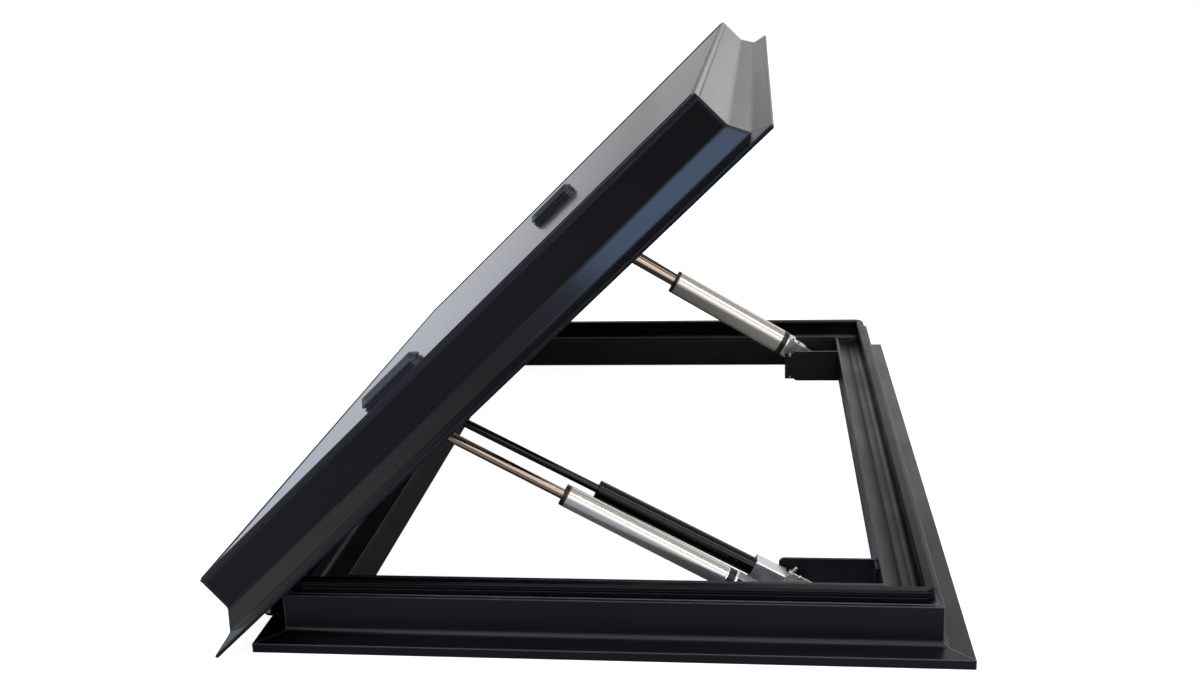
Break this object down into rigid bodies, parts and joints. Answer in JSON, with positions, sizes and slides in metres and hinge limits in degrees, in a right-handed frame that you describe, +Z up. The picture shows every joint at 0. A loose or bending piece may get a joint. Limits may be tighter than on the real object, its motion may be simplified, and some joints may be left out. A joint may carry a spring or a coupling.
{
  "type": "rv roof skylight",
  "caption": "Rectangular roof skylight: black flanged curb with inner sleeve and seal, and a dark glazed lid with flared skirt, hinged open on actuators and gas struts.",
  "frame": {"origin": "on the underside of the flange, directly below the middle of the hinge axis", "axes": "+X from the hinge side to the opening side, +Y along the hinge, +Z up and out of the roof"},
  "size_m": [0.7497, 1.0412, 0.537],
  "materials": {
    "curb_paint": "satin black powder coat",
    "sleeve_paint": "satin black powder coat",
    "seal_rubber": "matte",
    "hinge_paint": "satin black powder coat",
    "pin_steel": "satin",
    "plate_paint": "satin black powder coat",
    "dark_glass": "gloss, dark tint",
    "inner_glass": "gloss, dark tint",
    "spacer_metal": "satin, dark",
    "pad_plastic": "satin",
    "lid_paint": "gloss black",
    "rail_paint": "satin black powder coat",
    "tube_silver": "satin anodised",
    "cap_black": "matte",
    "foot_metal": "satin",
    "rod_chrome": "polished",
    "eye_steel": "satin",
    "rod_black": "gloss black nitrided",
    "gas_black": "gloss black"
  },
  "bodies": {
    "base": {"curb_near": "curb_paint", "curb_far": "curb_paint", "curb_hinge_side": "curb_paint", "curb_opening_side": "curb_paint", "sleeve_near": "sleeve_paint", "sleeve_far": "sleeve_paint", "sleeve_hinge_side": "sleeve_paint", "sleeve_opening_side": "sleeve_paint", "rim_seal": "seal_rubber", "base_hinge_leaf": "hinge_paint", "hinge_pin": "pin_steel", "near_pocket_plate": "plate_paint", "far_pocket_plate": "plate_paint", "near_pivot_pins": "pin_steel", "far_pivot_pins": "pin_steel"},
    "lid": {"lid_skirt_near": "lid_paint", "lid_skirt_far": "lid_paint", "lid_skirt_hinge_side": "lid_paint", "lid_skirt_opening_side": "lid_paint", "top_glass": "dark_glass", "glazing_spacer": "spacer_metal", "inner_pane": "inner_glass", "lid_rail_near": "rail_paint", "lid_rail_far": "rail_paint", "lid_rail_hinge_side": "rail_paint", "lid_rail_opening_side": "rail_paint", "lid_hinge_leaf": "hinge_paint", "roof_pads": "pad_plastic", "near_lid_bracket": "plate_paint", "far_lid_bracket": "plate_paint"},
    "near_actuator_body": {"near_actuator_tube": "tube_silver", "near_actuator_caps": "cap_black", "near_actuator_foot": "foot_metal"},
    "near_actuator_stem": {"near_actuator_rod": "rod_chrome", "near_actuator_eye": "eye_steel"},
    "near_gas_body": {"near_gas_tube": "gas_black", "near_gas_foot": "foot_metal"},
    "near_gas_stem": {"near_gas_rod": "rod_black", "near_gas_eye": "eye_steel"},
    "far_actuator_body": {"far_actuator_tube": "tube_silver", "far_actuator_caps": "cap_black", "far_actuator_foot": "foot_metal"},
    "far_actuator_stem": {"far_actuator_rod": "rod_chrome", "far_actuator_eye": "eye_steel"},
    "far_gas_body": {"far_gas_tube": "gas_black", "far_gas_foot": "foot_metal"},
    "far_gas_stem": {"far_gas_rod": "rod_black", "far_gas_eye": "eye_steel"}
  },
  "joints": [
    {"name": "lid_hinge", "type": "hinge", "parent": "base", "child": "lid", "pos_m": [0, 0, 0.024], "axis": [0, 1, 0], "range_deg": [0, 43]},
    {"name": "near_actuator_swing", "type": "hinge", "parent": "base", "child": "near_actuator_body", "pos_m": [0.5007, -0.403, 0.0206], "axis": [0, 1, 0], "range_deg": [-22.66, 0]},
    {"name": "near_actuator_stroke", "type": "slide", "parent": "near_actuator_body", "child": "near_actuator_stem", "axis": [-0.8757, 0, 0.4829], "range_m": [-0.12898, 0]},
    {"name": "near_gas_swing", "type": "hinge", "parent": "base", "child": "near_gas_body", "pos_m": [0.5282, -0.371, 0.0173], "axis": [0, 1, 0], "range_deg": [-21.89, 0]},
    {"name": "near_gas_stroke", "type": "slide", "parent": "near_gas_body", "child": "near_gas_stem", "axis": [-0.8803, 0, 0.4743], "range_m": [-0.13155, 0]},
    {"name": "far_actuator_swing", "type": "hinge", "parent": "base", "child": "far_actuator_body", "pos_m": [0.559, 0.372, 0.0366], "axis": [0, 1, 0], "range_deg": [-28.44, 0]},
    {"name": "far_actuator_stroke", "type": "slide", "parent": "far_actuator_body", "child": "far_actuator_stem", "axis": [-0.8558, 0, 0.5173], "range_m": [-0.15801, 0]},
    {"name": "far_gas_swing", "type": "hinge", "parent": "base", "child": "far_gas_body", "pos_m": [0.575, 0.4057, 0.0188], "axis": [0, 1, 0], "range_deg": [-26.2, 0]},
    {"name": "far_gas_stroke", "type": "slide", "parent": "far_gas_body", "child": "far_gas_stem", "axis": [-0.8424, 0, 0.5388], "range_m": [-0.16672, 0]}
  ],
  "couplings": [
    {"joint": "near_actuator_swing", "follows": "lid_hinge", "ratio": -0.5267},
    {"joint": "near_actuator_stroke", "follows": "lid_hinge", "m_per_rad": -0.17173},
    {"joint": "near_gas_swing", "follows": "lid_hinge", "ratio": -0.5088},
    {"joint": "near_gas_stroke", "follows": "lid_hinge", "m_per_rad": -0.17516},
    {"joint": "far_actuator_swing", "follows": "lid_hinge", "ratio": -0.66109},
    {"joint": "far_actuator_stroke", "follows": "lid_hinge", "m_per_rad": -0.21041},
    {"joint": "far_gas_swing", "follows": "lid_hinge", "ratio": -0.60906},
    {"joint": "far_gas_stroke", "follows": "lid_hinge", "m_per_rad": -0.22201}
  ]
}
